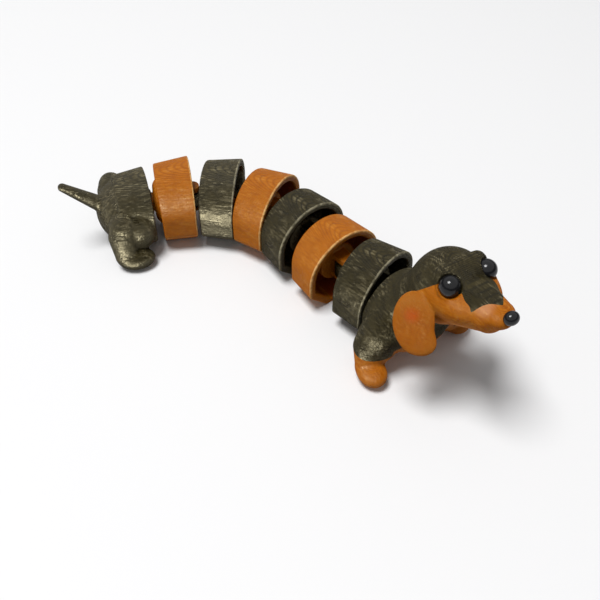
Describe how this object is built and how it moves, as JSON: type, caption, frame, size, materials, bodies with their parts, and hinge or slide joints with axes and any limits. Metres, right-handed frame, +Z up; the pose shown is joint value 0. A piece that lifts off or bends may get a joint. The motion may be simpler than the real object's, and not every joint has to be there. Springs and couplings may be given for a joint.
{
  "type": "articulated dachshund toy",
  "caption": "Print-in-place articulated toy dachshund: hoop-shaped links on upright hinges between a rear body with tail and a front body with head, ears and paws.",
  "frame": {"origin": "middle of the outline's bounding box, on the surface that the toy stands on, in its gently curved rest pose", "axes": "+Z up along every hinge; +X along the longest extent, from the tail side to the head side; +Y to the dog's left side"},
  "size_m": [0.1244, 0.0952, 0.0456],
  "materials": {
    "dark_plastic": "semi-gloss olive grey-brown printed plastic with fine layer lines",
    "orange_plastic": "semi-gloss ochre orange printed plastic with fine layer lines",
    "black_gloss": "polished black"
  },
  "bodies": {
    "rear_body": {"rear_body": "dark_plastic"},
    "ring_1": {"ring_1": "orange_plastic"},
    "ring_2": {"ring_2": "dark_plastic"},
    "ring_3": {"ring_3": "orange_plastic"},
    "ring_4": {"ring_4": "dark_plastic"},
    "ring_5": {"ring_5": "orange_plastic"},
    "ring_6": {"ring_6": "dark_plastic"},
    "front_body": {"front_body": "dark_plastic", "face": "orange_plastic", "chest_patch": "orange_plastic", "right_front_paw": "orange_plastic", "left_front_paw": "orange_plastic", "right_ear": "orange_plastic", "left_ear": "orange_plastic", "right_eye": "black_gloss", "left_eye": "black_gloss", "nose": "black_gloss"}
  },
  "joints": [
    {"name": "hinge_1", "type": "hinge", "parent": "rear_body", "child": "ring_1", "pos_m": [-0.03842, 0.03126, 0.0118], "axis": [0, 0, 1], "range_deg": [-10.5, 22.5]},
    {"name": "hinge_2", "type": "hinge", "parent": "ring_1", "child": "ring_2", "pos_m": [-0.02355, 0.03442, 0.0118], "axis": [0, 0, 1], "range_deg": [-4, 41]},
    {"name": "hinge_3", "type": "hinge", "parent": "ring_2", "child": "ring_3", "pos_m": [-0.00845, 0.0327, 0.0118], "axis": [0, 0, 1], "range_deg": [-0.5, 44.5]},
    {"name": "hinge_4", "type": "hinge", "parent": "ring_3", "child": "ring_4", "pos_m": [0.00491, 0.02545, 0.0118], "axis": [0, 0, 1], "range_deg": [-1, 44]},
    {"name": "hinge_5", "type": "hinge", "parent": "ring_4", "child": "ring_5", "pos_m": [0.01468, 0.0138, 0.0118], "axis": [0, 0, 1], "range_deg": [-20.5, 24.5]},
    {"name": "hinge_6", "type": "hinge", "parent": "ring_5", "child": "ring_6", "pos_m": [0.02404, 0.00183, 0.0118], "axis": [0, 0, 1], "range_deg": [-34, 11]},
    {"name": "hinge_7", "type": "hinge", "parent": "ring_6", "child": "front_body", "pos_m": [0.03559, -0.00805, 0.0118], "axis": [0, 0, 1], "range_deg": [-3.5, 41.5]}
  ]
}
